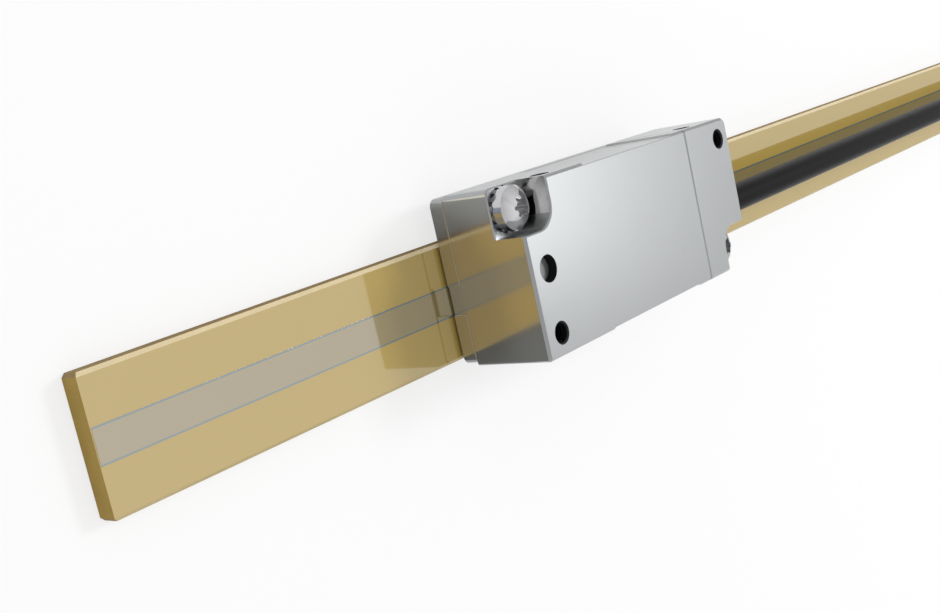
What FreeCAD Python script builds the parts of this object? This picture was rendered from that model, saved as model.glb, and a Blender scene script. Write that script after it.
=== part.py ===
import FreeCAD, Part
import math
import os
from FreeCAD import Vector

# Open-type linear encoder: a glass scale lying on its back, a scanning head above it,
# and the head's cable with its plug. X runs along the scale, Y across it, Z out of its face.
# The origin is the middle of the scale's back. All sizes are in millimetres.

# Scale
scale_length = 270.0
scale_width = 14.88
glass_thickness = 2.4
glass_chamfer = 0.42
film_thickness = 0.1
film_margin = 0.5
track_width = 3.9
track_height = 0.03
track_y = 0.09
border_width = 0.2
track_end_gap = 0.12

# Scanning head
head_start = 53.0
head_length = 52.0
head_width = 21.5
head_depth = 13.6
head_shift = 2.44
air_gap = 0.3
corner_radius = 1.0
small_corner_radius = 0.4
front_chamfer = 0.35
seam_chamfer = 0.22
end_block_length = 12.0
relief_length = 22.8
relief_depth = 0.28

# Base plate
plate_thickness = 2.3
plate_inset = 0.25
plate_edge_bevel = 0.2
plate_top_bevel = 0.2
notch_width = 3.7
notch_length = 0.4
window_length = 11.0
window_width = 7.0
window_ledge = 0.7
ledge_height = 0.7

# Housing cavity
left_wall = 7.8
inner_wall = 2.0
side_wall = 1.9
upper_wall = 5.7
front_wall = 2.4
cavity_radius = 1.5
seal_width = 0.7
seal_height = 0.6
seal_offset = 0.55
wire_window_height = 5.0
wire_window_width = 6.4

# Corner cut-outs with their pan-head screws and toothed washers
cutout_length = 6.35
cutout_width = 6.15
cutout_depth = 4.4
cutout_radius = 3.0
cutout_bevel = 0.18
screw_inset_x = 3.0
screw_inset_y = 2.95
screw_head_radius = 2.77
screw_rim_height = 1.25
screw_dome_height = 1.15
screw_shank_radius = 1.5
lobe_radius = 1.3
lobe_waist = 0.95
lobe_depth = 1.3
lobe_count = 6
washer_radius = 2.9
washer_thickness = 0.35
washer_tooth_length = 0.35
washer_tooth_count = 16
thread_clearance = 0.02
hole_clearance = 0.15

# Fixing holes of the head and its locating pin
left_hole_inset = 3.25
right_hole_inset = 3.0
hole_inset_y = 2.8
fixing_core_radius = 1.25
fixing_depth = 6.0
fixing_mouth_radius = 1.45
pin_hole_radius = 1.7
locating_pin_radius = 1.6
locating_pin_setback = 1.2
side_hole_inset = 8.5
side_hole_depth = 5.0
side_hole_setback = 2.4

# Optics and electronics
carrier_play = 0.3
carrier_width = 10.0
carrier_height = 4.5
carrier_ear = 3.7
carrier_ear_height = 1.5
carrier_screw_radius = 0.8
carrier_screw_head_radius = 1.4
carrier_screw_head_height = 1.0
reticle_thickness = 1.1
reticle_play = 0.1
lens_radius = 2.0
lens_rim = 0.6
lens_crown = 0.9
lens_seat_height = 1.3
lens_shoulder = 0.4
light_offset = 3.6
sensor_offset = 3.4
sensor_port_length = 5.4
sensor_port_width = 4.4
light_size = 2.2
light_height = 1.2
sensor_length = 4.6
sensor_width = 3.6
sensor_height = 0.6
board_thickness = 0.8
board_margin = 0.5
amplifier_size = 5.0
amplifier_height = 0.9
capacitor_length = 1.6
capacitor_width = 0.8
capacitor_count = 4
capacitor_pitch = 2.2
limit_sensor_length = 2.9
limit_sensor_width = 1.4
limit_sensor_height = 1.0
limit_sensor_spacing = 5.0
header_length = 2.4
header_width = 7.0
header_height = 2.2
wire_radius = 0.3
wire_count = 6
wire_gap = 0.2

# Cable
cable_diameter = 4.2
cable_y = 0.07
cable_height = 11.4
sleeve_wall = 0.6
sleeve_length = 4.2
sleeve_flange = 0.5
sleeve_flange_length = 0.8
block_pocket_margin = 0.35
cable_hole_play = 0.15
boot_length = 4.5
boot_base_radius = 2.8
boot_tip_radius = 2.4

# Hank of put-away cable
head_travel_back = 64.0
hank_clearance = 3.0
hank_straight = 30.0
hank_inner_turn = 13.2
hank_bevel = 1.5
strap_width = 8.0
strap_thickness = 0.6
strap_play = 0.1
strap_slack = 0.5
tail_level_run = 14.4

# Plug with its hood
hood_width = 40.0
hood_height = 15.5
hood_ear_length = 9.0
hood_length = 34.0
hood_rear_width = 14.0
hood_taper_length = 8.0
hood_entry = 4.0
hood_wall = 1.8
hood_edge_radius = 1.2
hood_post_wall = 4.8
hood_boot_length = 6.0
hood_boot_base_radius = 3.5
hood_boot_tip_radius = 2.5
hood_screw_radius = 1.1
hood_screw_head_radius = 1.8
hood_screw_head_height = 1.2
plug_gap = 3.0
flange_width = 39.0
flange_height = 12.5
flange_thickness = 0.8
flange_corner = 1.5
d_width = 24.8
d_height = 8.3
d_slope = 10.0
d_length = 5.9
d_wall = 0.5
d_corner = 1.6
insert_play = 0.1
insert_rear_length = 7.0
insert_rear_height = 9.6
insert_face = 1.0
pin_radius = 0.5
pin_pitch = 2.77
pin_row_pitch = 2.84
pin_front = 4.6
pin_rear = 10.0
pin_play = 0.4
long_row = 8
jack_pitch = 33.3
jack_radius = 1.42
jack_reach = 5.0
jack_knob_radius = 3.2
jack_knob_length = 12.0
jack_knob_gap = 0.4
jack_play = 0.3

# Thin wires and pins
small_rod_sides = 10

# Places that follow from the sizes
glass_top = film_thickness + glass_thickness
head_left = -scale_length / 2 + head_start
head_right = head_left + head_length
head_middle = (head_left + head_right) / 2
head_low = head_shift - head_width / 2
head_high = head_shift + head_width / 2
head_back = glass_top + air_gap
head_front = head_back + head_depth
plate_top = head_back + plate_thickness
seam_x = head_right - end_block_length
cutout_floor = head_front - cutout_depth
cavity_left = head_left + left_wall
cavity_right = seam_x - inner_wall
cavity_low = head_low + side_wall
cavity_high = head_high - upper_wall
cavity_front = head_front - front_wall
cable_radius = cable_diameter / 2
side_hole_z = head_front - side_hole_setback

corner_screw_at = Vector(head_left + screw_inset_x, head_high - screw_inset_y, 0)
end_screw_at = Vector(head_right - screw_inset_x, head_low + screw_inset_y, 0)
locating_pin_at = Vector(head_left + left_hole_inset, head_shift, 0)
fixing_left_at = Vector(head_left + left_hole_inset, head_low + hole_inset_y, 0)
fixing_right_at = Vector(head_right - right_hole_inset, head_high - hole_inset_y, 0)
carrier_reach = cavity_right - carrier_play - head_middle
carrier_length = 2 * (carrier_reach - carrier_ear)

UP = Vector(0, 0, 1)
ALONG = Vector(1, 0, 0)
ACROSS = Vector(0, 1, 0)


# Shapes used by several pieces

def block(x0, x1, y0, y1, z0, z1):
    return Part.makeBox(x1 - x0, y1 - y0, z1 - z0, Vector(x0, y0, z0))


def centred_block(x, y, length, width, z0, z1):
    return block(x - length / 2, x + length / 2, y - width / 2, y + width / 2, z0, z1)


def rod(radius, start, direction, length):
    return Part.makeCylinder(radius, length, start, direction)


def upright(radius, at, z0, z1):
    return rod(radius, Vector(at.x, at.y, z0), UP, z1 - z0)


def ring(outer, inner, start, direction, length):
    return rod(outer, start, direction, length).cut(rod(inner, start, direction, length))


def cone(radius0, radius1, start, direction, length):
    return Part.makeCone(radius0, radius1, length, start, direction)


def extruded(points, height):
    wire = Part.makePolygon(points + points[:1])
    return Part.Face(wire).extrude(height)


def small_rod(radius, start, direction, length):
    """A thin rod with a few flat sides."""
    turns = [2 * math.pi * i / small_rod_sides for i in range(small_rod_sides)]
    corners = [Vector(radius * math.cos(turn), radius * math.sin(turn), 0) for turn in turns]
    bar = extruded(corners, UP * length)
    bar.Placement = FreeCAD.Placement(start, FreeCAD.Rotation(UP, direction))
    return bar


def edges_where(shape, test):
    return [e for e in shape.Edges if test(e)]


def is_upright(edge):
    ends = [v.Point for v in edge.Vertexes]
    return len(ends) == 2 and (ends[0] - ends[1]).cross(UP).Length < 1e-6


def lies_at(edge, axis, value):
    return all(abs(getattr(v.Point, axis) - value) < 1e-6 for v in edge.Vertexes)


def is_corner(edge, x, y):
    return is_upright(edge) and lies_at(edge, "x", x) and lies_at(edge, "y", y)


def round_uprights(shape, radius):
    return shape.makeFillet(radius, edges_where(shape, is_upright))


def save(name, *solids):
    shape = solids[0] if len(solids) == 1 else Part.makeCompound(list(solids))
    shape.exportStep("parts/" + name + ".step")


# Scale

def scale_glass():
    glass = block(-scale_length / 2, scale_length / 2, -scale_width / 2, scale_width / 2,
                  film_thickness, glass_top)
    glass = glass.makeChamfer(glass_chamfer, edges_where(glass, is_upright))
    long_edges = edges_where(glass, lambda e: lies_at(e, "z", glass_top) and e.Length > scale_width)
    return glass.makeChamfer(glass_chamfer, long_edges)


def track_strip(y0, y1):
    reach = scale_length / 2 - track_end_gap
    return block(-reach, reach, y0, y1, glass_top, glass_top + track_height)


def graduation_track():
    inner = track_width / 2 - border_width
    return track_strip(track_y - inner, track_y + inner)


def track_borders():
    inner = track_width / 2 - border_width
    outer = track_width / 2
    return track_strip(track_y + inner, track_y + outer), track_strip(track_y - outer, track_y - inner)


def adhesive_film():
    return centred_block(0, 0, scale_length - 2 * film_margin, scale_width - 2 * film_margin,
                         0, film_thickness)


# Scanning head: cutters shared by the shells

def corner_cutter(corner_x, corner_y, toward_x, toward_y):
    """The open corner pocket over a screw, with a round inner corner."""
    over = 1.0
    x_out = corner_x - toward_x * over
    y_out = corner_y - toward_y * over
    x_in = corner_x + toward_x * cutout_length
    y_in = corner_y + toward_y * cutout_width
    points = [(x_out, y_out), (x_in, y_out), (x_in, y_in), (x_out, y_in)]
    pocket = extruded([Vector(x, y, cutout_floor) for x, y in points],
                      Vector(0, 0, cutout_depth + over))
    return pocket.makeFillet(cutout_radius, edges_where(pocket, lambda e: is_corner(e, x_in, y_in)))


def fixing_hole(at):
    """A threaded hole from the front, with a bevelled mouth."""
    bevel = fixing_mouth_radius - fixing_core_radius
    hole = upright(fixing_core_radius, at, head_front - fixing_depth, head_front)
    mouth = cone(fixing_core_radius, fixing_mouth_radius,
                 Vector(at.x, at.y, head_front - bevel), UP, bevel)
    return hole.fuse(mouth)


def side_hole(x):
    return rod(fixing_core_radius, Vector(x, head_high - side_hole_depth, side_hole_z),
               ACROSS, side_hole_depth)


def side_reliefs():
    x0 = head_middle - relief_length / 2
    x1 = head_middle + relief_length / 2
    over = 1.0
    upper = block(x0, x1, head_high - relief_depth, head_high + over, plate_top, head_front + over)
    lower = block(x0, x1, head_low - over, head_low + relief_depth, plate_top, head_front + over)
    return [upper, lower]


def bevel_cutout(shape, corner_x, corner_y, wall_x, wall_y):
    """Bevel a corner cut-out's rim on the front face and its floor's two outer edges."""
    def in_corner(edge):
        middle = edge.CenterOfMass
        beyond_x = (middle.x - wall_x) * (corner_x - wall_x) > -1e-6
        beyond_y = (middle.y - wall_y) * (corner_y - wall_y) > -1e-6
        return beyond_x and beyond_y

    def on_outside(edge):
        return lies_at(edge, "x", corner_x) or lies_at(edge, "y", corner_y)

    rim = edges_where(shape, lambda e: lies_at(e, "z", head_front) and in_corner(e))
    floor = edges_where(shape, lambda e: lies_at(e, "z", cutout_floor) and on_outside(e))
    return shape.makeChamfer(cutout_bevel, rim + floor)


def plate_screw_places():
    """Each screw or pin that ends in the base plate, with its radius there."""
    return [(corner_screw_at, screw_shank_radius), (end_screw_at, screw_shank_radius),
            (locating_pin_at, locating_pin_radius)]


def carrier_screw_places():
    reach = carrier_reach - carrier_ear / 2
    return [Vector(head_middle - reach, track_y, 0), Vector(head_middle + reach, track_y, 0)]


# Scanning head: shells

def base_plate():
    plate = block(head_left, head_right, head_low + plate_inset, head_high - plate_inset,
                  head_back, plate_top)
    plate = round_uprights(plate, corner_radius)
    plate = plate.makeChamfer(plate_edge_bevel,
                              edges_where(plate, lambda e: lies_at(e, "z", head_back)))
    plate = plate.makeChamfer(plate_top_bevel,
                              edges_where(plate, lambda e: lies_at(e, "z", plate_top)))
    cuts = [centred_block(head_left, track_y, 2 * notch_length, notch_width, head_back, plate_top)]
    cuts.append(centred_block(head_middle, track_y, window_length, window_width, head_back, plate_top))
    cuts.append(centred_block(head_middle, track_y, window_length + 2 * window_ledge,
                              window_width + 2 * window_ledge, head_back + ledge_height, plate_top))
    for at, radius in plate_screw_places():
        cuts.append(upright(radius + thread_clearance, at, head_back, plate_top))
    for at in carrier_screw_places():
        cuts.append(upright(carrier_screw_radius + thread_clearance, at, head_back, plate_top))
    return plate.cut(cuts)


def housing_blank(x0, x1, round_x):
    """The head's outline between two places on its length, rounded at its outer end."""
    blank = block(x0, x1, head_low, head_high, plate_top, head_front)
    blank = blank.makeFillet(corner_radius,
                             edges_where(blank, lambda e: is_corner(e, round_x, head_high)))
    return blank.makeFillet(small_corner_radius,
                            edges_where(blank, lambda e: is_corner(e, round_x, head_low)))


def front_edges(shape, seam):
    """The front face's outer edges, without the one along the seam."""
    return edges_where(shape, lambda e: lies_at(e, "z", head_front) and not lies_at(e, "x", seam))


def seam_edges(shape):
    """The seam's edges that show, all round but for the one on the base plate."""
    return edges_where(shape, lambda e: lies_at(e, "x", seam_x) and not lies_at(e, "z", plate_top))


def main_housing():
    body = housing_blank(head_left, seam_x, head_left)
    body = body.makeChamfer(front_chamfer, front_edges(body, seam_x))
    body = body.makeChamfer(seam_chamfer, seam_edges(body))
    body = body.cut(corner_cutter(head_left, head_high, 1, -1))
    body = bevel_cutout(body, head_left, head_high, head_left + cutout_length, head_high - cutout_width)
    cavity = block(cavity_left, cavity_right, cavity_low, cavity_high, plate_top, cavity_front)
    cuts = [round_uprights(cavity, cavity_radius), seal_groove()]
    cuts.append(wire_window())
    cuts.append(upright(screw_shank_radius + hole_clearance, corner_screw_at, plate_top, cutout_floor))
    cuts.append(fixing_hole(fixing_left_at))
    cuts.append(upright(pin_hole_radius, locating_pin_at, plate_top, head_front))
    cuts.append(side_hole(head_left + side_hole_inset))
    return body.cut(cuts + side_reliefs())


def wire_window():
    """The opening through the inner wall for the cable's cores."""
    return block(cavity_right - cavity_radius, seam_x, cable_y - wire_window_width / 2,
                 cable_y + wire_window_width / 2, cable_height - wire_window_height / 2,
                 cable_height + wire_window_height / 2)


def seal_loop(inner, outer, z0, z1):
    """A closed frame round the cavity, between two distances from its wall."""
    def frame(distance):
        shape = block(cavity_left - distance, cavity_right + distance,
                      cavity_low - distance, cavity_high + distance, z0, z1)
        return round_uprights(shape, cavity_radius + distance)
    return frame(outer).cut(frame(inner))


def seal_groove():
    return seal_loop(seal_offset, seal_offset + seal_width, plate_top, plate_top + seal_height)


def base_seal():
    return seal_groove()


def sleeve_radius():
    return cable_radius + sleeve_wall


def pocket_end():
    """Where the end block's inner pocket stops, short of the corner cut-out."""
    return seam_x + sleeve_length + sleeve_flange_length


def cable_end_block():
    body = housing_blank(seam_x, head_right, head_right)
    body = body.makeChamfer(front_chamfer, front_edges(body, seam_x))
    body = body.makeChamfer(seam_chamfer, seam_edges(body))
    body = body.cut(corner_cutter(head_right, head_low, -1, 1))
    body = bevel_cutout(body, head_right, head_low, head_right - cutout_length, head_low + cutout_width)
    reach = sleeve_radius() + sleeve_flange + block_pocket_margin
    cuts = [block(seam_x, pocket_end(), cable_y - reach, cable_y + reach,
                  cable_height - reach, cable_height + reach)]
    cuts.append(rod(cable_radius + cable_hole_play, Vector(pocket_end(), cable_y, cable_height),
                    ALONG, head_right - pocket_end()))
    cuts.append(upright(screw_shank_radius + hole_clearance, end_screw_at, plate_top, cutout_floor))
    cuts.append(fixing_hole(fixing_right_at))
    cuts.append(side_hole(head_right - side_hole_inset))
    return body.cut(cuts)


# Scanning head: screws, washers and locating pin

def lobed_recess(at, top):
    """A six-lobe drive recess: a round waist with lobes set round it."""
    tip = (lobe_radius - lobe_waist) / 2 + 0.1
    floor = top - lobe_depth
    recess = upright(lobe_waist, at, floor, top)
    for i in range(lobe_count):
        turn = 2 * math.pi * i / lobe_count
        spot = at + Vector(math.cos(turn), math.sin(turn), 0) * (lobe_radius - tip)
        recess = recess.fuse(upright(tip, spot, floor, top))
    return recess.removeSplitter()


def domed(radius, at, seat, rim, crown):
    """A round slab with a domed top: rim is its straight side, crown the dome above that."""
    slab = upright(radius, at, seat, seat + rim + crown)
    curve = (radius ** 2 + crown ** 2) / (2 * crown)
    return slab.common(Part.makeSphere(curve, Vector(at.x, at.y, seat + rim + crown - curve)))


def pan_screw(at):
    seat = cutout_floor + washer_thickness
    top = seat + screw_rim_height + screw_dome_height
    head = domed(screw_head_radius, at, seat, screw_rim_height, screw_dome_height)
    shank = upright(screw_shank_radius, at, head_back, seat)
    return head.fuse(shank).cut(lobed_recess(at, top))


def toothed_washer(at):
    """A flat lock washer with gaps between its outer teeth."""
    start = Vector(at.x, at.y, cutout_floor)
    washer = ring(washer_radius, screw_shank_radius + hole_clearance, start, UP, washer_thickness)
    gap_width = math.pi * washer_radius / washer_tooth_count
    gap = block(washer_radius - washer_tooth_length, washer_radius + 1, -gap_width / 2, gap_width / 2,
                0, washer_thickness)
    gap.translate(start)
    gaps = []
    for i in range(washer_tooth_count):
        turned = gap.copy()
        turned.rotate(start, UP, 360.0 * i / washer_tooth_count)
        gaps.append(turned)
    return washer.cut(gaps)


def locating_pin():
    return upright(locating_pin_radius, locating_pin_at, head_back, head_front - locating_pin_setback)


# Scanning head: optics and electronics

def scanning_reticle():
    seat = head_back + ledge_height
    return centred_block(head_middle, track_y, window_length + 2 * (window_ledge - reticle_play),
                         window_width + 2 * (window_ledge - reticle_play),
                         seat, seat + reticle_thickness)


carrier_top = plate_top + carrier_height
light_x = head_middle - light_offset
sensor_x = head_middle + sensor_offset


def optics_carrier():
    body = centred_block(head_middle, track_y, carrier_length, carrier_width, plate_top, carrier_top)
    ears = centred_block(head_middle, track_y, 2 * carrier_reach, carrier_width / 2,
                         plate_top, plate_top + carrier_ear_height)
    at = Vector(light_x, track_y, 0)
    cuts = [upright(lens_radius + thread_clearance, at, plate_top + lens_seat_height, carrier_top)]
    cuts.append(upright(lens_radius - lens_shoulder, at, plate_top, carrier_top))
    cuts.append(centred_block(sensor_x, track_y, sensor_port_length, sensor_port_width,
                              plate_top, carrier_top))
    for place in carrier_screw_places():
        cuts.append(upright(carrier_screw_radius + hole_clearance, place, plate_top, carrier_top))
    return body.fuse(ears).removeSplitter().cut(cuts)


def carrier_screws():
    seat = plate_top + carrier_ear_height
    screws = []
    for at in carrier_screw_places():
        head = upright(carrier_screw_head_radius, at, seat, seat + carrier_screw_head_height)
        screws.append(head.fuse(upright(carrier_screw_radius, at, head_back, seat)))
    return screws


def condenser_lens():
    return domed(lens_radius, Vector(light_x, track_y, 0), plate_top + lens_seat_height, lens_rim, lens_crown)


def light_source():
    return centred_block(light_x, track_y, light_size, light_size, carrier_top - light_height, carrier_top)


def photosensor():
    return centred_block(sensor_x, track_y, sensor_length, sensor_width,
                         carrier_top - sensor_height, carrier_top)


board_top = carrier_top + board_thickness


def circuit_board():
    board = block(cavity_left + board_margin, cavity_right - board_margin,
                  cavity_low + board_margin, cavity_high - board_margin, carrier_top, board_top)
    return round_uprights(board, cavity_radius)


def amplifier_chip():
    return centred_block(head_middle, track_y, amplifier_size, amplifier_size,
                         board_top, board_top + amplifier_height)


def board_capacitors():
    first = head_middle - amplifier_size - capacitor_length
    places = [track_y + (i - (capacitor_count - 1) / 2) * capacitor_pitch
              for i in range(capacitor_count)]
    return [centred_block(first, y, capacitor_length, capacitor_width,
                          board_top, board_top + capacitor_width) for y in places]


def limit_sensors():
    x = head_middle - carrier_reach - limit_sensor_length / 2
    return [centred_block(x, y, limit_sensor_width, limit_sensor_length,
                          carrier_top - limit_sensor_height, carrier_top)
            for y in (track_y - limit_sensor_spacing / 2, track_y + limit_sensor_spacing / 2)]


header_right = cavity_right - board_margin


def wire_header():
    return block(header_right - header_length, header_right, cable_y - header_width / 2,
                 cable_y + header_width / 2, board_top, board_top + header_height)


def core_fan(start, start_spread, end, end_spread):
    """The cable's cores in a row, each straight, from one spread across Y to another."""
    wires = []
    for i in range(wire_count):
        share = i / (wire_count - 1) - 0.5
        first = start + ACROSS * share * start_spread
        last = end + ACROSS * share * end_spread
        wires.append(small_rod(wire_radius, first, last - first, (last - first).Length))
    return wires


core_spread = cable_diameter - 4 * wire_radius


def cable_wires():
    start = Vector(header_right + wire_gap, cable_y, board_top + header_height / 2)
    end = Vector(seam_x + sleeve_flange_length - wire_gap, cable_y, cable_height)
    return core_fan(start, header_width - 4 * wire_radius, end, core_spread)


def crimp_sleeve():
    start = Vector(seam_x + sleeve_flange_length, cable_y, cable_height)
    body = ring(sleeve_radius(), cable_radius, start, ALONG, sleeve_length)
    flange_at = start + ALONG * (sleeve_length - sleeve_flange_length)
    flange = ring(sleeve_radius() + sleeve_flange, cable_radius, flange_at, ALONG, sleeve_flange_length)
    return body.fuse(flange).removeSplitter()


def cable_boot():
    start = Vector(head_right, cable_y, cable_height)
    body = cone(boot_base_radius, boot_tip_radius, start, ALONG, boot_length)
    return body.cut(rod(cable_radius, start, ALONG, boot_length))


# Cable: route points chosen by hand, from the head's end to the hank and from there to the plug

hank_outer_turn = hank_inner_turn + cable_diameter
hank_low = strap_thickness + strap_play
hank_level = hank_low + cable_radius
hank_y = head_high - hood_width / 2
hank_left = scale_length / 2 + head_travel_back + hank_clearance
hank_x = hank_left + cable_radius + hank_outer_turn + hank_straight / 2
hank_right = hank_x + hank_straight / 2 + hank_outer_turn + cable_radius
hank_top_level = hank_level + cable_diameter
plug_axis_z = hood_height / 2
hood_back = hank_right + plug_gap
hood_front = hood_back + hood_length


def lead_points():
    """Straight over the scale, as far as its mirror image shows, then down to the hank's outer run."""
    first_run = hank_y + hank_outer_turn
    return [Vector(seam_x + sleeve_flange_length, cable_y, cable_height),
            Vector(hank_x - 101.5, cable_y, cable_height),
            Vector(hank_x - 78.5, cable_y + 1.5, cable_height - 0.3),
            Vector(hank_x - 57.5, first_run - 5.2, cable_height - 1.6),
            Vector(hank_x - 38.5, first_run - 1.6, hank_level + 4.2),
            Vector(hank_x - 22.5, first_run - 0.2, hank_level + 1.2),
            Vector(hank_x - 6.5, first_run, hank_level)]


def tail_points():
    last_run = hank_y + hank_inner_turn
    return [Vector(hank_x - hank_straight / 2, last_run, hank_top_level),
            Vector(hank_x - 7, last_run - 0.2, hank_top_level),
            Vector(hank_x + 5, last_run - 3.4, hank_top_level + 0.3),
            Vector(hood_back - tail_level_run, hank_y, plug_axis_z),
            Vector(hood_back + hood_entry, hank_y, plug_axis_z)]


def cord_tube(name, points):
    """A round tube along straight runs joined by the largest even arcs."""
    edges = []
    radii = []
    start = points[0]
    for before, corner, after in zip(points, points[1:], points[2:]):
        back = before - corner
        ahead = after - corner
        half_turn = (math.pi - back.getAngle(ahead)) / 2
        cut = 0.45 * min(back.Length, ahead.Length)
        radii.append(cut / math.tan(half_turn))
        back.normalize()
        ahead.normalize()
        enter = corner + back * cut
        leave = corner + ahead * cut
        middle_way = back + ahead
        middle_way.normalize()
        inside = radii[-1] / math.cos(half_turn) - radii[-1]
        edges.append(Part.LineSegment(start, enter).toShape())
        edges.append(Part.Arc(enter, corner + middle_way * inside, leave).toShape())
        start = leave
    edges.append(Part.LineSegment(start, points[-1]).toShape())
    path = Part.Wire(edges)
    first = points[1] - points[0]
    section = Part.Wire(Part.makeCircle(cable_radius, points[0], first))
    tube = path.makePipeShell([section], True, False)
    expected = math.pi * cable_radius ** 2 * path.Length
    print(name, "length", round(path.Length, 1), "radii", [round(r, 1) for r in radii],
          "volume share", round(tube.Volume / expected, 4))
    return tube


def racetrack(radius, z0, z1):
    """A long round-ended slab over the hank's place."""
    half = hank_straight / 2
    low = Vector(hank_x - half, hank_y - radius, z0)
    slab = extruded([low, low + ALONG * hank_straight,
                     low + ALONG * hank_straight + ACROSS * 2 * radius, low + ACROSS * 2 * radius],
                    Vector(0, 0, z1 - z0))
    for x in (hank_x - half, hank_x + half):
        slab = slab.fuse(upright(radius, Vector(x, hank_y, 0), z0, z1))
    return slab.removeSplitter()


def cable_hank():
    """Two turns side by side, and the last half turn lying on their left end."""
    middle = hank_low + cable_diameter
    top = middle + cable_diameter
    outer = racetrack(hank_outer_turn + cable_radius, hank_low, middle)
    turns = outer.cut(racetrack(hank_inner_turn - cable_radius, hank_low, middle))
    turns = turns.makeChamfer(hank_bevel, edges_where(turns, lambda e: not is_upright(e)))
    bend_x = hank_x - hank_straight / 2
    bend = ring(hank_inner_turn + cable_radius, hank_inner_turn - cable_radius,
                Vector(bend_x, hank_y, middle - hank_bevel), UP, top - middle + hank_bevel)
    reach = hank_outer_turn + cable_diameter
    left_half = block(bend_x - reach, bend_x, hank_y - reach, hank_y + reach, 0, 2 * top)
    return turns.fuse(bend.common(left_half))


def strap_section(margin):
    reach = hank_outer_turn + cable_radius + margin
    low = hank_low - margin
    high = hank_top_level + cable_radius + strap_slack + margin
    section = block(hank_x - strap_width / 2, hank_x + strap_width / 2,
                    hank_y - reach, hank_y + reach, low, high)
    lengthways = edges_where(section, lambda e: abs(e.tangentAt(e.FirstParameter).x) > 0.9)
    return section.makeFillet(cable_radius + margin, lengthways)


def hank_strap():
    return strap_section(strap_play + strap_thickness).cut(strap_section(strap_play))


# Plug: the hood's halves meet on the plug's axis, and the front face is at hood_front

hood_body_width = jack_pitch - 2 * (jack_knob_radius + jack_knob_gap)
jack_places = (hank_y - jack_pitch / 2, hank_y + jack_pitch / 2)


def hood_outline():
    """The hood's plan: ears at the front for the jackscrews, a body, and a narrow rear."""
    ear_back = hood_front - hood_ear_length
    taper_front = hood_back + hood_taper_length
    half = [(hood_back, hood_rear_width / 2), (taper_front, hood_body_width / 2),
            (ear_back, hood_body_width / 2), (ear_back, hood_width / 2), (hood_front, hood_width / 2)]
    other = [(x, -y) for x, y in reversed(half)]
    return [Vector(x, hank_y + y, 0) for x, y in half + other]


def hood_blank():
    blank = extruded(hood_outline(), Vector(0, 0, hood_height))
    rear = edges_where(blank, lambda e: is_upright(e) and not lies_at(e, "x", hood_front))
    return blank.makeFillet(hood_edge_radius, rear)


def hood_room():
    """The hollow for the insert's rear, the solder ends and the cable's cores."""
    reach = hood_body_width / 2 - hood_post_wall
    room = block(hood_back + hood_entry, hood_front, hank_y - reach, hank_y + reach,
                 hood_wall, hood_height - hood_wall)
    solder_reach = (long_row - 1) / 2 * pin_pitch + pin_radius + pin_play
    solder_room = block(hood_front - pin_rear - pin_play, hood_front, hank_y - solder_reach,
                        hank_y + solder_reach, hood_wall, hood_height - hood_wall)
    mouth = block(hood_front - insert_rear_length, hood_front, hank_y - d_width / 2,
                  hank_y + d_width / 2, plug_axis_z - insert_rear_height / 2,
                  plug_axis_z + insert_rear_height / 2)
    return room.fuse([solder_room, mouth])


def hood_screw_places():
    x = hood_back + hood_taper_length + hood_post_wall
    reach = (hood_body_width - hood_post_wall) / 2
    return [Vector(x, hank_y - reach, 0), Vector(x, hank_y + reach, 0)]


def hood_body():
    cuts = [hood_room()]
    cuts.append(rod(cable_radius, Vector(hood_back, hank_y, plug_axis_z), ALONG, hood_entry))
    for y in jack_places:
        cuts.append(rod(jack_radius + jack_play, Vector(hood_front - hood_ear_length, y, plug_axis_z),
                        ALONG, hood_ear_length))
    for at in hood_screw_places():
        cuts.append(upright(hood_screw_radius + thread_clearance, at, hood_wall, hood_height))
        cuts.append(upright(hood_screw_head_radius + hole_clearance, at,
                            hood_height - hood_screw_head_height, hood_height))
    return hood_blank().cut(cuts)


def hood_half(z0, z1):
    return hood_body().common(block(hood_back, hood_front, hank_y - hood_width, hank_y + hood_width, z0, z1))


def hood_screws():
    seat = hood_height - hood_screw_head_height
    screws = []
    for at in hood_screw_places():
        head = upright(hood_screw_head_radius, at, seat, hood_height)
        screws.append(head.fuse(upright(hood_screw_radius, at, hood_wall, seat)))
    return screws


def hood_boot():
    start = Vector(hood_back - hood_boot_length, hank_y, plug_axis_z)
    body = cone(hood_boot_tip_radius, hood_boot_base_radius, start, ALONG, hood_boot_length)
    return body.cut(rod(cable_radius, start, ALONG, hood_boot_length))


def d_prism(inset, x0, x1):
    """The D-shaped section of the plug, shrunk by inset."""
    half_width = d_width / 2 - inset
    half_height = d_height / 2 - inset
    lean = 2 * half_height * math.tan(math.radians(d_slope))
    corners = [(-half_width, half_height), (half_width, half_height),
               (half_width - lean, -half_height), (lean - half_width, -half_height)]
    prism = extruded([Vector(x0, hank_y + y, plug_axis_z + z) for y, z in corners], ALONG * (x1 - x0))
    lengthways = edges_where(prism, lambda e: abs(e.tangentAt(e.FirstParameter).x) > 0.9)
    return prism.makeFillet(d_corner - inset, lengthways)


flange_front = hood_front + flange_thickness


def plug_shell():
    flange = block(hood_front, flange_front, hank_y - flange_width / 2, hank_y + flange_width / 2,
                   plug_axis_z - flange_height / 2, plug_axis_z + flange_height / 2)
    lengthways = edges_where(flange, lambda e: abs(e.tangentAt(e.FirstParameter).x) > 0.9)
    flange = flange.makeFillet(flange_corner, lengthways)
    shell = flange.fuse(d_prism(0, hood_front, flange_front + d_length))
    cuts = [d_prism(d_wall, hood_front, flange_front + d_length)]
    for y in jack_places:
        cuts.append(rod(jack_radius + jack_play, Vector(hood_front, y, plug_axis_z), ALONG, flange_thickness))
    return shell.cut(cuts)


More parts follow.
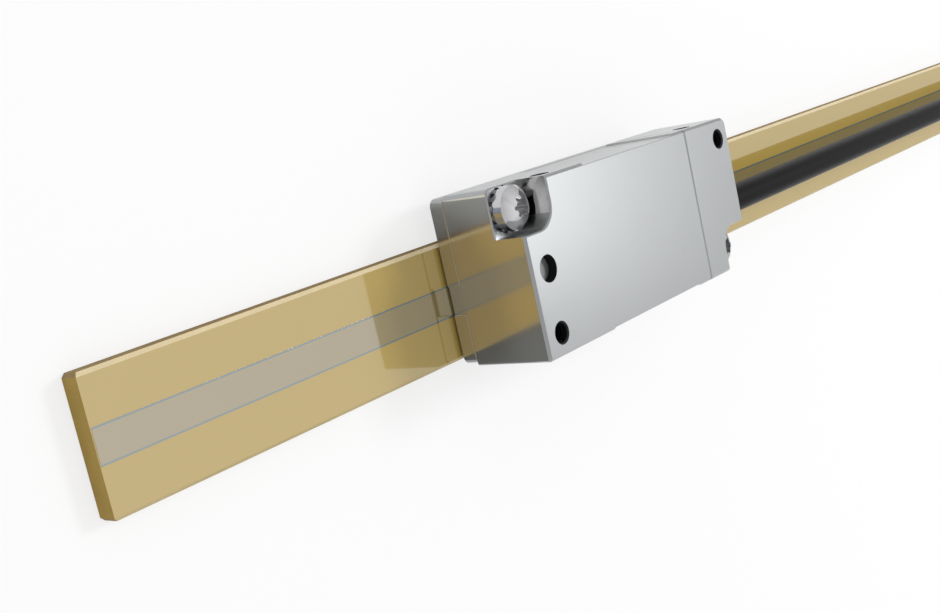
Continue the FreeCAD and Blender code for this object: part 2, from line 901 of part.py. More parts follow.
def pin_places():
    places = []
    for row, count in ((pin_row_pitch / 2, long_row), (-pin_row_pitch / 2, long_row - 1)):
        for i in range(count):
            places.append((hank_y + (i - (count - 1) / 2) * pin_pitch, plug_axis_z + row))
    return places


def plug_insert():
    rear = block(hood_front - insert_rear_length, hood_front, hank_y - d_width / 2, hank_y + d_width / 2,
                 plug_axis_z - insert_rear_height / 2, plug_axis_z + insert_rear_height / 2)
    body = rear.fuse(d_prism(d_wall + insert_play, hood_front, flange_front + insert_face))
    holes = [small_rod(pin_radius, Vector(hood_front - insert_rear_length, y, z), ALONG,
                       insert_rear_length + flange_thickness + insert_face) for y, z in pin_places()]
    return body.cut(holes)


def plug_pins():
    back = hood_front - pin_rear
    length = flange_front + insert_face + pin_front - back
    return [small_rod(pin_radius, Vector(back, y, z), ALONG, length) for y, z in pin_places()]


def plug_wires():
    start = Vector(hood_back + hood_entry + wire_gap, hank_y, plug_axis_z)
    end = Vector(hood_front - pin_rear - wire_gap, hank_y, plug_axis_z + pin_row_pitch / 2)
    return core_fan(start, core_spread, end, (wire_count - 1) * pin_pitch)


def jackscrew(y):
    """A captive screw through an ear of the hood, with a knob behind the ear."""
    knob_front = hood_front - hood_ear_length - jack_knob_gap
    knob = rod(jack_knob_radius, Vector(knob_front - jack_knob_length, y, plug_axis_z),
               ALONG, jack_knob_length)
    shank = rod(jack_radius, Vector(knob_front, y, plug_axis_z), ALONG,
                flange_front + jack_reach - knob_front)
    return knob.fuse(shank).removeSplitter()


os.makedirs("parts", exist_ok=True)

save("scale_glass", scale_glass())
save("graduation_track", graduation_track())
save("track_borders", *track_borders())
save("adhesive_film", adhesive_film())

save("base_plate", base_plate())
save("main_housing", main_housing())
save("cable_end_block", cable_end_block())
save("corner_screw", pan_screw(corner_screw_at))
save("corner_washer", toothed_washer(corner_screw_at))
save("end_screw", pan_screw(end_screw_at))
save("end_washer", toothed_washer(end_screw_at))
save("locating_pin", locating_pin())
save("base_seal", base_seal())
save("scanning_reticle", scanning_reticle())
save("optics_carrier", optics_carrier())
save("carrier_screws", *carrier_screws())
save("condenser_lens", condenser_lens())
save("light_source", light_source())
save("photosensor", photosensor())
save("circuit_board", circuit_board())
save("amplifier_chip", amplifier_chip())
save("board_capacitors", *board_capacitors())
save("limit_sensors", *limit_sensors())
save("wire_header", wire_header())
save("cable_wires", *cable_wires())
save("crimp_sleeve", crimp_sleeve())
save("cable_boot", cable_boot())

save("cable_lead", cord_tube("cable_lead", lead_points()))
save("cable_hank", cable_hank())
save("hank_strap", hank_strap())
save("cable_tail", cord_tube("cable_tail", tail_points()))

save("hood_lower", hood_half(0, plug_axis_z))
save("hood_upper", hood_half(plug_axis_z, hood_height))
save("hood_screws", *hood_screws())
save("hood_boot", hood_boot())
save("plug_shell", plug_shell())
save("plug_insert", plug_insert())
save("plug_pins", *plug_pins())
save("plug_wires", *plug_wires())
save("jackscrew_left", jackscrew(jack_places[0]))
save("jackscrew_right", jackscrew(jack_places[1]))
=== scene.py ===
import math

import bmesh
import bpy
from mathutils import Matrix, Vector


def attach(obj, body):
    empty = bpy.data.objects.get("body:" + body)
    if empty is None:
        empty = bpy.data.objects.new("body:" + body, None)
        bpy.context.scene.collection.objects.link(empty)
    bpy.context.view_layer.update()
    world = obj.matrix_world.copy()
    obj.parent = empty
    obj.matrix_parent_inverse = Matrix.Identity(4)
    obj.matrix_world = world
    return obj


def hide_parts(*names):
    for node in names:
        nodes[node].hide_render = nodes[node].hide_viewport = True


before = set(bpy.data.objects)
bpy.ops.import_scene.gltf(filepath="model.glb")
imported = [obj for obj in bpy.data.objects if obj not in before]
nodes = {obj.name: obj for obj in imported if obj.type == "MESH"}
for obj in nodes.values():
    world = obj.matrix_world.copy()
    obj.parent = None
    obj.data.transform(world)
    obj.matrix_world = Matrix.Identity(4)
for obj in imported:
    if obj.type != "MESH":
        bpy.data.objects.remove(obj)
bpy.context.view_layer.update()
MM = 0.001


def tone(red, green, blue):
    """A colour as seen on a screen, 0 to 255, as a shader colour."""
    def linear(value):
        share = value / 255
        return share / 12.92 if share <= 0.04045 else ((share + 0.055) / 1.055) ** 2.4
    return (linear(red), linear(green), linear(blue), 1.0)


def scaled(colour, factor):
    """The colour made lighter or darker."""
    return tuple(min(1.0, part * factor) for part in colour[:3]) + (1.0,)


# Camera

camera_data = bpy.data.cameras.new("camera")
camera_data.lens = 50
camera_data.sensor_width = 36
camera_data.sensor_fit = "HORIZONTAL"
camera_data.clip_start = 0.005
camera = bpy.data.objects.new("camera", camera_data)
bpy.context.scene.collection.objects.link(camera)
right = Vector((0.613933, -0.215789, 0.75929))
up = Vector((0.26149, 0.963193, 0.062308))
back = right.cross(up)
camera_place = Vector((-0.2013, 0.02499, 0.1096))
camera.matrix_world = Matrix((
    (right.x, up.x, back.x, camera_place.x),
    (right.y, up.y, back.y, camera_place.y),
    (right.z, up.z, back.z, camera_place.z),
    (0, 0, 0, 1)))
bpy.context.scene.camera = camera
bpy.context.scene.view_settings.view_transform = "Standard"


# Floor, world and lamps

def seen_share(tree, direct, mirrored):
    """The share of white in what camera rays see, and in what glossy and transmission rays see."""
    path = tree.nodes.new("ShaderNodeLightPath")
    total = None
    for ray, share in (("Is Camera Ray", direct), ("Is Glossy Ray", mirrored),
                       ("Is Transmission Ray", mirrored)):
        step = tree.nodes.new("ShaderNodeMath")
        step.operation = "MULTIPLY_ADD"
        step.use_clamp = True
        tree.links.new(path.outputs[ray], step.inputs[0])
        step.inputs[1].default_value = share
        step.inputs[2].default_value = 0.0
        if total:
            tree.links.new(total, step.inputs[2])
        total = step.outputs[0]
    return total


def make_floor():
    """A pale floor that keeps the shadows and turns plain white to the eye far from the object."""
    size, drop = 60, 0.00005
    colour = (0.96, 0.96, 0.96, 1)
    white_from, white_to = 0.5, 2.0
    white_seen, white_mirrored = 0.7, 0.2
    bpy.ops.mesh.primitive_plane_add(size=size, location=(0, 0, -drop))
    floor = bpy.context.object
    floor.name = "floor"
    mat = bpy.data.materials.new("floor_white")
    mat.use_nodes = True
    tree = mat.node_tree
    tree.nodes.clear()
    paint = tree.nodes.new("ShaderNodeBsdfDiffuse")
    paint.inputs["Color"].default_value = colour
    glow = tree.nodes.new("ShaderNodeEmission")
    glow.inputs["Strength"].default_value = 1.0
    coords = tree.nodes.new("ShaderNodeTexCoord")
    away = tree.nodes.new("ShaderNodeVectorMath")
    away.operation = "LENGTH"
    tree.links.new(coords.outputs["Object"], away.inputs[0])
    far = tree.nodes.new("ShaderNodeMapRange")
    far.inputs["From Min"].default_value = white_from
    far.inputs["From Max"].default_value = white_to
    tree.links.new(away.outputs["Value"], far.inputs["Value"])
    path = tree.nodes.new("ShaderNodeLightPath")
    share = tree.nodes.new("ShaderNodeMath")
    share.operation = "MULTIPLY_ADD"
    share.use_clamp = True
    tree.links.new(far.outputs[0], share.inputs[0])
    tree.links.new(path.outputs["Is Camera Ray"], share.inputs[1])
    tree.links.new(seen_share(tree, white_seen, white_mirrored), share.inputs[2])
    mix = tree.nodes.new("ShaderNodeMixShader")
    tree.links.new(share.outputs[0], mix.inputs["Fac"])
    tree.links.new(paint.outputs[0], mix.inputs[1])
    tree.links.new(glow.outputs[0], mix.inputs[2])
    out = tree.nodes.new("ShaderNodeOutputMaterial")
    tree.links.new(mix.outputs[0], out.inputs["Surface"])
    floor.data.materials.append(mat)


def make_card(name, low, high, colour):
    """A grey card on the floor before the head's end, which only mirror-like faces see: it paints a darker
    reflection than the pale floor into the end faces there, tinted blue against their warm tint.
    """
    near, far = -0.0832, -0.125
    mesh = bpy.data.meshes.new(name)
    corners = [(far, low, 0), (near, low, 0), (near, high, 0), (far, high, 0)]
    mesh.from_pydata(corners, [], [(0, 1, 2, 3)])
    mat = bpy.data.materials.new(name)
    mat.use_nodes = True
    shader = mat.node_tree.nodes["Principled BSDF"]
    shader.inputs["Base Color"].default_value = colour
    shader.inputs["Roughness"].default_value = 1.0
    shader.inputs["Specular IOR Level"].default_value = 0.0
    mesh.materials.append(mat)
    card = bpy.data.objects.new(name, mesh)
    bpy.context.scene.collection.objects.link(card)
    card.visible_camera = False
    card.visible_diffuse = False
    card.visible_shadow = False
    card.visible_transmission = False


def make_world():
    """White to the eye, softer as a light, and shaded towards the horizon and -X in reflections."""
    horizon_dim, left_dim, left_fade_end, light_strength = 0.6, 0.4, 0.2, 0.66
    world = bpy.data.worlds.new("studio")
    world.use_nodes = True
    tree = world.node_tree
    tree.nodes.clear()

    def background(strength):
        shader = tree.nodes.new("ShaderNodeBackground")
        shader.inputs["Color"].default_value = (1, 1, 1, 1)
        shader.inputs["Strength"].default_value = strength
        return shader

    def fall(source, low, high, dim):
        ramp = tree.nodes.new("ShaderNodeMapRange")
        ramp.inputs["From Min"].default_value = low
        ramp.inputs["From Max"].default_value = high
        ramp.inputs["To Min"].default_value = dim
        ramp.inputs["To Max"].default_value = 1.0
        tree.links.new(source, ramp.inputs["Value"])
        return ramp.outputs[0]

    def mixed(share, first, second):
        mix = tree.nodes.new("ShaderNodeMixShader")
        tree.links.new(share, mix.inputs["Fac"])
        tree.links.new(first.outputs[0], mix.inputs[1])
        tree.links.new(second.outputs[0], mix.inputs[2])
        return mix

    coords = tree.nodes.new("ShaderNodeTexCoord")
    split = tree.nodes.new("ShaderNodeSeparateXYZ")
    tree.links.new(coords.outputs["Generated"], split.inputs[0])
    shade = tree.nodes.new("ShaderNodeMath")
    shade.operation = "MULTIPLY"
    tree.links.new(fall(split.outputs["Z"], 0.0, 1.0, horizon_dim), shade.inputs[0])
    tree.links.new(fall(split.outputs["X"], -1.0, left_fade_end, left_dim), shade.inputs[1])
    mirrored = background(1.0)
    tree.links.new(shade.outputs[0], mirrored.inputs["Strength"])
    path = tree.nodes.new("ShaderNodeLightPath")
    seen = mixed(path.outputs["Is Glossy Ray"], background(1.0), mirrored)
    light = mixed(seen_share(tree, 1.0, 1.0), background(light_strength), seen)
    out = tree.nodes.new("ShaderNodeOutputWorld")
    tree.links.new(light.outputs[0], out.inputs["Surface"])
    bpy.context.scene.world = world


def make_lamp(name, turn, height, distance, size, power):
    """A soft square lamp that looks at the head, turn degrees round from +X and height degrees up."""
    target = Vector((-0.056, 0.002, 0.012))
    turn, height = math.radians(turn), math.radians(height)
    way = Vector((math.cos(height) * math.cos(turn), math.cos(height) * math.sin(turn), math.sin(height)))
    data = bpy.data.lights.new(name, "AREA")
    data.size = size
    data.energy = power
    lamp = bpy.data.objects.new(name, data)
    lamp.location = target + way * distance
    lamp.rotation_euler = way.to_track_quat("Z", "Y").to_euler()
    bpy.context.scene.collection.objects.link(lamp)


make_floor()
# Two bluish grey cards that only reflections show: painted dark reflections in the end faces before the
# head.
make_card("painted_reflection_dark_card", -0.026, -0.001, (0.225, 0.243, 0.276, 1))
make_card("painted_reflection_grey_card", -0.001, 0.016, (0.392, 0.424, 0.48, 1))
make_world()
make_lamp("key", 18, 50, 0.8, 0.2, 2.35)
make_lamp("sheen", -6, 41, 0.8, 0.12, 0.14)
make_lamp("fill", 215, 60, 0.9, 1.4, 0.8)


# Materials

def material(name, colour, rough, metallic=0.0, speck=0.04, speck_size=0.5, rough_spread=0.04,
             bump=0.0, bump_size=0.1, specular=0.5, ior=1.5, tint=(1, 1, 1, 1)):
    """A surface whose colour, roughness and fine relief vary with noise. Sizes are in millimetres."""
    dark_end, light_end = 0.3, 0.7
    least_rough, relief_share = 0.02, 0.1
    mat = bpy.data.materials.new(name)
    mat.use_nodes = True
    tree = mat.node_tree
    shader = tree.nodes["Principled BSDF"]
    shader.inputs["Metallic"].default_value = metallic
    shader.inputs["Specular IOR Level"].default_value = specular
    shader.inputs["IOR"].default_value = ior
    shader.inputs["Specular Tint"].default_value = tint
    coords = tree.nodes.new("ShaderNodeTexCoord")
    noise = tree.nodes.new("ShaderNodeTexNoise")
    noise.inputs["Scale"].default_value = 1 / (speck_size * MM)
    noise.inputs["Detail"].default_value = 3
    tree.links.new(coords.outputs["Object"], noise.inputs["Vector"])
    ramp = tree.nodes.new("ShaderNodeValToRGB")
    ramp.color_ramp.elements[0].position = dark_end
    ramp.color_ramp.elements[0].color = scaled(colour, 1 - speck)
    ramp.color_ramp.elements[1].position = light_end
    ramp.color_ramp.elements[1].color = scaled(colour, 1 + speck)
    tree.links.new(noise.outputs["Fac"], ramp.inputs["Fac"])
    tree.links.new(ramp.outputs["Color"], shader.inputs["Base Color"])
    gloss = tree.nodes.new("ShaderNodeMapRange")
    gloss.inputs["To Min"].default_value = max(least_rough, rough - rough_spread)
    gloss.inputs["To Max"].default_value = rough + rough_spread
    tree.links.new(noise.outputs["Fac"], gloss.inputs["Value"])
    tree.links.new(gloss.outputs[0], shader.inputs["Roughness"])
    if bump:
        grain = tree.nodes.new("ShaderNodeTexNoise")
        grain.inputs["Scale"].default_value = 1 / (bump_size * MM)
        grain.inputs["Detail"].default_value = 2
        tree.links.new(coords.outputs["Object"], grain.inputs["Vector"])
        raised = tree.nodes.new("ShaderNodeBump")
        raised.inputs["Strength"].default_value = bump
        raised.inputs["Distance"].default_value = bump_size * relief_share * MM
        tree.links.new(grain.outputs["Fac"], raised.inputs["Height"])
        tree.links.new(raised.outputs[0], shader.inputs["Normal"])
    return mat


gold_shine = (1.0, 0.98, 0.92, 1.0)
gold_face = material("gold_face", tone(188, 161, 84), 0.05, 0.0, 0.012, 9, 0.015, ior=2.45, tint=gold_shine)
gold_edge = material("gold_edge", tone(152, 130, 92), 0.6, 0.0, 0.04, 2, specular=0.02)
gold_end = material("gold_end", tone(166, 139, 72), 0.5, 0.0, 0.05, 2, specular=0.1)
# A much paler copy of the gold for the scale's chamfer towards +Y: a painted highlight line along that
# edge.
gold_bevel_painted_highlight = material("gold_bevel_painted_highlight", tone(230, 210, 162), 0.2, 0.0, 0.03, 2, ior=2.0)
gold_lower = material("gold_lower", tone(196, 178, 130), 0.4, 0.0, 0.03, 2, specular=0.1)
grating = material("grating", tone(151, 135, 88), 0.05, 0.0, 0.012, 6, 0.015, ior=3.2)
border_line = material("border_line", tone(84, 112, 120), 0.1, 0.0, 0.02, 2, ior=3.2)
film = material("film", tone(226, 223, 214), 0.6, 0.0, 0.03, 1)
satin = material("satin_metal", tone(171, 173, 174), 0.28, 1.0, 0.006, 5, 0.01)
# A lighter copy of the satin finish for the faces towards +Y: painted light on those sides.
satin_painted_light_side = material("satin_painted_light_side", tone(192, 194, 195), 0.28, 1.0, 0.006, 5, 0.01)
polished = material("polished_metal", tone(207, 206, 204), 0.12, 1.0, 0.015, 0.5, 0.03)
# Warm copies of the polished finish for the head's and base plate's end faces: the tint browns the gold
# they mirror, a painted reflection colour.
head_end = material("head_end", tone(209, 203, 188), 0.12, 1.0, 0.015, 0.5, 0.03)
plate_end = material("plate_end", tone(205, 199, 184), 0.14, 1.0, 0.015, 0.5, 0.03)
# A pale warm copy of the metal for the base plate's end bevel: a painted highlight line.
plate_bevel_painted_highlight = material("plate_bevel_painted_highlight", tone(192, 180, 150), 0.6, 1.0, 0.03, 0.5)
pin_steel = material("pin_steel", tone(142, 144, 145), 0.6, 1.0, 0.04, 0.4)
bright_steel = material("bright_steel", tone(200, 200, 202), 0.12, 1.0, 0.03, 0.6)
plain_steel = material("plain_steel", tone(150, 151, 152), 0.3, 1.0, 0.05, 0.5)
# Near black for the walls and floors inside the bores: painted shade.
bore_painted_shade = material("bore_painted_shade", tone(5, 5, 5), 0.6, 0.0, 0.2, 0.3)
rubber = material("rubber", tone(34, 34, 34), 0.55, 0.0, 0.12, 0.8, 0.06, 0.3, 0.15)
jacket = material("cable_jacket", tone(5, 5, 6), 0.38, 0.0, 0.1, 1.5, 0.04, 0.05, 0.25, ior=1.15)
black_plastic = material("black_plastic", tone(40, 40, 41), 0.5, 0.0, 0.08, 0.8, 0.05, 0.3, 0.2)
chip = material("chip", tone(38, 38, 42), 0.35, 0.0, 0.06, 0.4)
board = material("board", tone(28, 110, 66), 0.4, 0.0, 0.1, 1.2)
ceramic = material("ceramic", tone(230, 222, 206), 0.35, 0.0, 0.04, 0.5)
wire_jacket = material("wire_jacket", tone(190, 62, 44), 0.45, 0.0, 0.05, 0.6)
brass = material("brass", tone(226, 196, 120), 0.22, 1.0, 0.04, 0.5)
strap_cloth = material("strap_cloth", tone(46, 46, 50), 0.85, 0.0, 0.2, 0.5, 0.05, 0.4, 0.2)
hood_coat = material("hood_coat", tone(182, 184, 187), 0.38, 0.85, 0.04, 0.6, 0.05, 0.2, 0.2)
lens_glass = material("lens_glass", tone(226, 236, 236), 0.05, 0.0, 0.01, 2, 0.01)
lens_glass.node_tree.nodes["Principled BSDF"].inputs["Transmission Weight"].default_value = 0.9


# Weave of the strap

def weave(mat, pitch, depth):
    """Raises a cloth's shading in small squares, with sizes in millimetres."""
    tree = mat.node_tree

    def result(operation, *values):
        step = tree.nodes.new("ShaderNodeMath")
        step.operation = operation
        for value, socket in zip(values, step.inputs):
            if isinstance(value, float):
                socket.default_value = value
            else:
                tree.links.new(value, socket)
        return step.outputs[0]

    def wave(place):
        return result("SINE", result("MULTIPLY", place, 2 * math.pi / (pitch * MM)))

    coords = tree.nodes.new("ShaderNodeTexCoord")
    split = tree.nodes.new("ShaderNodeSeparateXYZ")
    tree.links.new(coords.outputs["Object"], split.inputs[0])
    round_strap = result("ADD", split.outputs["Y"], split.outputs["Z"])
    shader = tree.nodes["Principled BSDF"]
    raised = tree.nodes.new("ShaderNodeBump")
    raised.inputs["Distance"].default_value = depth * MM
    tree.links.new(result("MULTIPLY", wave(split.outputs["X"]), wave(round_strap)), raised.inputs["Height"])
    tree.links.new(shader.inputs["Normal"].links[0].from_socket, raised.inputs["Normal"])
    tree.links.new(raised.outputs[0], shader.inputs["Normal"])


weave(strap_cloth, 0.9, 0.12)


# Each node's material

def paint(material_used, *names):
    """Gives whole nodes one material."""
    for name in names:
        mesh = nodes[name].data
        mesh.materials.clear()
        mesh.materials.append(material_used)


def also(name, material_used, wanted):
    """Gives the faces of a node that are wanted a second material."""
    mesh = nodes[name].data
    mesh.materials.append(material_used)
    for face in mesh.polygons:
        if wanted(face):
            face.material_index = len(mesh.materials) - 1


head_end_x, notch_reach = -0.0815, 0.003
paint(gold_face, "scale_glass")
also("scale_glass", gold_edge, lambda face: face.normal.z < 0.3)
also("scale_glass", gold_end, lambda face: abs(face.normal.x) > 0.9)
# The chamfer towards +Y gets the paler gold: painted highlight.
also("scale_glass", gold_bevel_painted_highlight, lambda face: 0.3 <= face.normal.z < 0.95 and face.normal.y > 0.3)
also("scale_glass", gold_lower, lambda face: 0.3 <= face.normal.z < 0.95 and face.normal.y < -0.3)
paint(grating, "graduation_track")
paint(border_line, "track_borders")
also("track_borders", gold_lower, lambda face: face.normal.z < 0.5)
paint(film, "adhesive_film")
paint(satin, "main_housing", "cable_end_block", "base_plate")
# Faces towards +Y get the lighter satin copy: painted light.
for name in ("main_housing", "cable_end_block"):
    also(name, satin_painted_light_side, lambda face: face.normal.y > 0.9)
also("main_housing", polished, lambda face: face.normal.x < -0.9)
# The end faces get the warm copies: painted reflection colour.
also("main_housing", head_end, lambda face: face.normal.x < -0.9 and face.center.x < head_end_x)
also("base_plate", plate_end, lambda face: face.normal.x < -0.9)
# The plate's end bevel gets the pale warm copy: painted highlight.
also("base_plate", plate_bevel_painted_highlight, lambda face: face.normal.x < -0.5 < 0.5 < face.normal.z)
# The notch floor in the base plate's end, facing +Y, gets the pale film colour: a painted highlight.
also("base_plate", film, lambda face: face.normal.y > 0.9 and face.center.x < head_end_x
     and abs(face.center.y) < notch_reach)
paint(bright_steel, "corner_screw", "end_screw", "carrier_screws", "hood_screws", "plug_shell")
paint(pin_steel, "locating_pin")
paint(plain_steel, "corner_washer", "end_washer", "jackscrew_left", "jackscrew_right")
paint(rubber, "base_seal", "cable_boot", "hood_boot")
paint(jacket, "cable_lead", "cable_hank", "cable_tail")
paint(black_plastic, "optics_carrier", "wire_header", "plug_insert")
paint(chip, "photosensor", "amplifier_chip", "limit_sensors")
paint(board, "circuit_board")
paint(ceramic, "light_source", "board_capacitors")
paint(wire_jacket, "cable_wires", "plug_wires")
paint(brass, "crimp_sleeve", "plug_pins")
paint(strap_cloth, "hank_strap")
paint(hood_coat, "hood_lower", "hood_upper")
paint(lens_glass, "scanning_reticle", "condenser_lens")


# Tapped holes and the pin's hole: painted shade, near black, inside

def in_bore(face, mouth, axis, radius):
    """True for a face of the bore's wall or floor, below its mouth."""
    least_depth, most_depth = 0.05, 8
    offset = face.center / MM - Vector(mouth)
    depth = -offset.dot(axis)
    away = (offset + axis * depth).length
    return least_depth < depth < most_depth and away < radius


# Each bore's mouth, axis and reach in millimetres, the locating pin's last
front = Vector((0, 0, 1))
side = Vector((0, 1, 0))
bores = [((-78.75, -5.51, 16.4), front, 1.5), ((-33.0, 10.39, 16.4), front, 1.5),
         ((-73.5, 13.19, 14.0), side, 1.5), ((-38.5, 13.19, 14.0), side, 1.5),
         ((-78.75, 2.44, 16.4), front, 1.9)]
for name in ("main_housing", "cable_end_block"):
    also(name, bore_painted_shade, lambda face: any(in_bore(face, *bore) for bore in bores))


# Threads in the tapped holes

def thread(name, mouth, axis, radius, pitch, turns):
    """A helical ridge down a hole's wall, with sizes in millimetres."""
    start, ridge_radius, turn_points = 0.5, 0.12, 16
    first = axis.orthogonal().normalized()
    second = axis.cross(first)
    curve = bpy.data.curves.new(name, "CURVE")
    curve.dimensions = "3D"
    curve.bevel_depth = ridge_radius * MM
    curve.bevel_resolution = 1
    curve.use_fill_caps = True
    ridge = curve.splines.new("POLY")
    ridge.points.add(turns * turn_points)
    for i, point in enumerate(ridge.points):
        angle = 2 * math.pi * i / turn_points
        place = Vector(mouth) - axis * (start + pitch * i / turn_points)
        place += (first * math.cos(angle) + second * math.sin(angle)) * radius
        point.co = (*(place * MM), 1)
    curve.materials.append(thread_painted_shade)
    piece = bpy.data.objects.new(name, curve)
    bpy.context.scene.collection.objects.link(piece)
    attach(piece, "head")


# Near black for the thread ridges inside the bores: painted shade.
thread_painted_shade = material("thread_painted_shade", tone(24, 24, 24), 0.4, 1.0, 0.1, 0.3)
ridge_reach, ridge_pitch, ridge_turns = 1.2, 0.5, 8
for number, (mouth, axis, _) in enumerate(bores[:4], 1):
    thread("tapped_thread_%d" % number, mouth, axis, ridge_reach, ridge_pitch, ridge_turns)


# Turned pieces: thumbscrews, hood screws and boots, built in millimetres

cable_diameter = 4.2
plug_y, plug_z = -6.81, 7.75


def ring(bm, place, along, radius, count):
    """A ring of points. The radius may be a function of the share of the turn."""
    points = []
    for i in range(count):
        away = radius(i / count) if callable(radius) else radius
        angle = 2 * math.pi * i / count
        points.append(bm.verts.new(place(along, away * math.cos(angle), away * math.sin(angle))))
    return points


def wall(bm, rings):
    """Faces from each ring to the next."""
    for first, second in zip(rings, rings[1:]):
        for i in range(len(first)):
            j = (i + 1) % len(first)
            bm.faces.new((first[i], first[j], second[j], second[i]))


def fill_between(bm, outer, inner):
    """Triangles between two loops in one plane."""
    edges = []
    for loop in (outer, inner):
        for first, second in zip(loop, loop[1:] + loop[:1]):
            edges.append(bm.edges.get((first, second)) or bm.edges.new((first, second)))
    bmesh.ops.triangle_fill(bm, use_beauty=True, edges=edges)


def make_piece(name, bm, material_used, body, node):
    """The finished piece, in the node's place."""
    bmesh.ops.recalc_face_normals(bm, faces=bm.faces)
    mesh = bpy.data.meshes.new(name)
    bm.to_mesh(mesh)
    bm.free()
    mesh.transform(Matrix.Scale(MM, 4))
    mesh.materials.append(material_used)
    for face in mesh.polygons:
        face.use_smooth = True
    mesh.set_sharp_from_angle(angle=math.radians(35))
    piece = bpy.data.objects.new(name, mesh)
    bpy.context.scene.collection.objects.link(piece)
    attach(piece, body)
    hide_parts(node)
    return piece


def peak(value):
    """1 at whole numbers and 0 halfway between them, in straight slopes."""
    return abs(2 * (value % 1) - 1)


def thumbscrew(name, y, body, node):
    """A knurled knob and a shank with a thread at its tip."""
    knob_radius, knurl_depth, knurl_count, knurl_pitch = 3.2, 0.3, 16, 1.25
    shank_radius, thread_depth, thread_pitch = 1.42, 0.32, 0.635
    knob_start, knob_end, thread_start, tip = 286.6, 298.6, 307.0, 313.8
    end_round, knurl_inset, thread_lead, parts = 0.5, 0.7, 0.2, 4
    tip_length, tip_shoulder, tip_round, shank_points = 0.5, 0.4, 0.3, 20

    def place(along, across, rise):
        return Vector((along, y + across, plug_z + rise))

    def knurled(along):
        def radius(share):
            first = peak(knurl_count * share + along / knurl_pitch)
            second = peak(knurl_count * share - along / knurl_pitch)
            return knob_radius - knurl_depth * (1 - min(first, second))
        return radius

    def threaded(along):
        def radius(share):
            return shank_radius - thread_depth * (1 - peak(along / thread_pitch - share))
        return radius

    def between(start, end, pitch):
        return [start + i * pitch / parts for i in range(int((end - start) * parts / pitch) + 1)]

    bm = bmesh.new()
    root = knob_radius - knurl_depth
    knob_rows = [(knob_start, root - end_round), (knob_start + end_round, root)]
    knob_rows += [(x, knurled(x)) for x in between(knob_start + knurl_inset, knob_end - knurl_inset,
                                                   knurl_pitch)]
    knob_rows += [(knob_end - end_round, root), (knob_end, root - end_round)]
    shank_rows = [(knob_end, shank_radius), (thread_start - thread_lead, shank_radius)]
    shank_rows += [(x, threaded(x)) for x in between(thread_start, tip - tip_length, thread_pitch)]
    shank_rows += [(tip - tip_shoulder, shank_radius - thread_depth),
                   (tip, shank_radius - thread_depth - tip_round)]
    knob = [ring(bm, place, x, radius, knurl_count * parts) for x, radius in knob_rows]
    shank = [ring(bm, place, x, radius, shank_points) for x, radius in shank_rows]
    wall(bm, knob)
    wall(bm, shank)
    fill_between(bm, knob[-1], shank[0])
    bm.faces.new(knob[0])
    bm.faces.new(shank[-1])
    return make_piece(name, bm, plain_steel, body, node)


def cross_screws(name, places, body, node):
    """Countersunk screws with a cross-shaped slot that narrows downwards."""
    head_radius, shank_radius, edge = 1.8, 1.1, 0.2
    foot, seat, top = 1.8, 14.3, 15.5
    slot_width, slot_length, slot_depth, slot_narrowing = 0.26, 1.15, 0.9, 0.6
    segments = 32
    bm = bmesh.new()
    for x, y in places:
        def place(along, across, rise):
            return Vector((x + across, y + rise, along))

        def cross(along, share):
            a, b = slot_width * share, slot_length * share
            outline = [(a, a), (a, b), (-a, b), (-a, a), (-b, a), (-b, -a), (-a, -a), (-a, -b), (a, -b),
                       (a, -a), (b, -a), (b, a)]
            return [bm.verts.new(place(along, *corner)) for corner in outline]

        rows = [(foot, shank_radius), (seat, shank_radius), (seat, head_radius), (top - edge, head_radius),
                (top, head_radius - edge)]
        rings = [ring(bm, place, z, radius, segments) for z, radius in rows]
        wall(bm, rings)
        bm.faces.new(rings[0])
        mouth, floor = cross(top, 1.0), cross(top - slot_depth, slot_narrowing)
        fill_between(bm, rings[-1], mouth)
        wall(bm, [mouth, floor])
        bm.faces.new(floor)
    return make_piece(name, bm, bright_steel, body, node)


def ribbed_boot(name, start, end, start_radius, end_radius, y, z, groove_depth, body, node):
    """A tapered strain relief with grooves round it and the cable's bore through it."""
    groove_count, groove_width, segments = 4, 0.45, 40
    first_share, end_share = 0.6, 0.2
    bm = bmesh.new()

    def place(along, across, rise):
        return Vector((along, y + across, z + rise))

    def taper(along):
        return start_radius + (end_radius - start_radius) * (along - start) / (end - start)

    rows = [(start, taper(start))]
    for i in range(groove_count):
        middle = start + (i + first_share) * (end - start) / (groove_count + end_share)
        first, last = middle - groove_width / 2, middle + groove_width / 2
        rows += [(first, taper(first)), (first, taper(first) - groove_depth),
                 (last, taper(last) - groove_depth), (last, taper(last))]
    rows += [(end, taper(end)), (end, cable_diameter / 2), (start, cable_diameter / 2)]
    rings = [ring(bm, place, x, radius, segments) for x, radius in rows]
    wall(bm, rings + rings[:1])
    return make_piece(name, bm, rubber, body, node)


jackscrew_reach = 16.65
hood_screw_x, hood_screw_reach = 286.8, 10.65
cable_y, cable_z = 0.07, 11.4
left_screw = thumbscrew("thumbscrew_left", plug_y - jackscrew_reach, "left_jackscrew", "jackscrew_left")
right_screw = thumbscrew("thumbscrew_right", plug_y + jackscrew_reach, "right_jackscrew", "jackscrew_right")
hood_pair = cross_screws("cross_head_screws", [(hood_screw_x, plug_y - hood_screw_reach),
                                               (hood_screw_x, plug_y + hood_screw_reach)],
                         "head", "hood_screws")
ribbed_boot("ribbed_cable_boot", start=-30.0, end=-25.5, start_radius=2.8, end_radius=2.4, y=cable_y,
            z=cable_z, groove_depth=0.16, body="head", node="cable_boot")
plug_boot = ribbed_boot("ribbed_hood_boot", start=268.0, end=274.0, start_radius=2.5, end_radius=3.5,
                        y=plug_y, z=plug_z, groove_depth=0.25, body="head", node="hood_boot")


# Cable: the same route as the solids', with the hank's turns

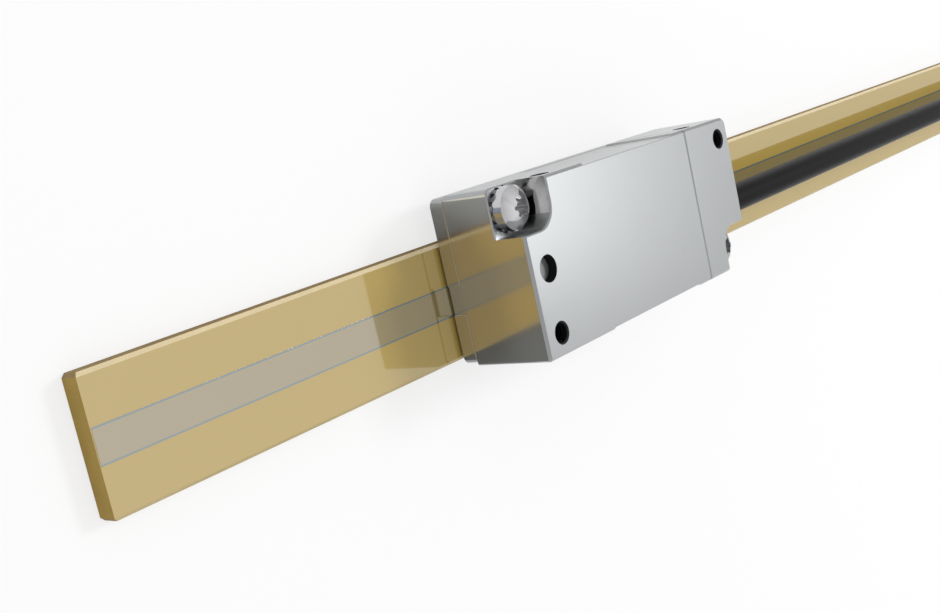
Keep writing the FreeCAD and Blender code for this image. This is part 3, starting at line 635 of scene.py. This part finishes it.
lead = [(-41.2, cable_y, cable_z), (112, cable_y, cable_z), (135, cable_y, cable_z), (158, 1.57, 11.1),
        (179, 5.39, 9.8), (198, 8.99, 7.0), (214, 10.39, 4.0), (230, 10.59, 2.8)]
tail = [(221.5, 6.39, 7.0), (229.5, 6.19, 7.0), (241.5, 2.99, 7.3), (259.6, plug_y, plug_z),
        (278, plug_y, plug_z)]
hank_y = plug_y
left_x, right_x = 221.5, 251.5
outer_turn, inner_turn = 17.4, 13.2
low, high = 2.8, 7.0
steps = 8
widening = 1.0194


def half_turn(middle_x, radius, height, start):
    """Points of a half turn to the right, from the angle start."""
    points = []
    for i in range(steps):
        angle = math.radians(start - (i + 0.5) * 180 / steps)
        points.append((middle_x + radius * widening * math.cos(angle),
                       hank_y + radius * widening * math.sin(angle), height))
    return points


route = lead + [(241, hank_y + outer_turn, low), (right_x, hank_y + outer_turn, low)]
route += half_turn(right_x, outer_turn, low, 90)
route += [(245, hank_y - outer_turn, low), (237, hank_y - outer_turn + 0.1, low),
          (228.5, hank_y - inner_turn - 0.9, low), (left_x, hank_y - inner_turn, low)]
route += half_turn(left_x, inner_turn, low, -90)
route += [(left_x, hank_y + inner_turn, low), (236.5, hank_y + inner_turn, low),
          (right_x, hank_y + inner_turn, low)]
route += half_turn(right_x, inner_turn, low, 90)
route += [(249, hank_y - inner_turn, low), (242, hank_y - inner_turn, low + 1.2),
          (234, hank_y - inner_turn, high - 0.6), (227, hank_y - inner_turn, high),
          (left_x, hank_y - inner_turn, high)]
route += half_turn(left_x, inner_turn, high, -90)
route += tail

curve = bpy.data.curves.new("encoder_cable", "CURVE")
curve.dimensions = "3D"
curve.bevel_depth = cable_diameter / 2 * MM
curve.bevel_resolution = 6
curve.resolution_u = 12
curve.use_fill_caps = True
line = curve.splines.new("NURBS")
line.points.add(len(route) - 1)
for point, place in zip(line.points, route):
    point.co = (*(Vector(place) * MM), 1)
line.order_u = 3
line.use_endpoint_u = True
curve.materials.append(jacket)
cable = bpy.data.objects.new("encoder_cable", curve)
bpy.context.scene.collection.objects.link(cable)
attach(cable, "head")
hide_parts("cable_lead", "cable_hank", "cable_tail")
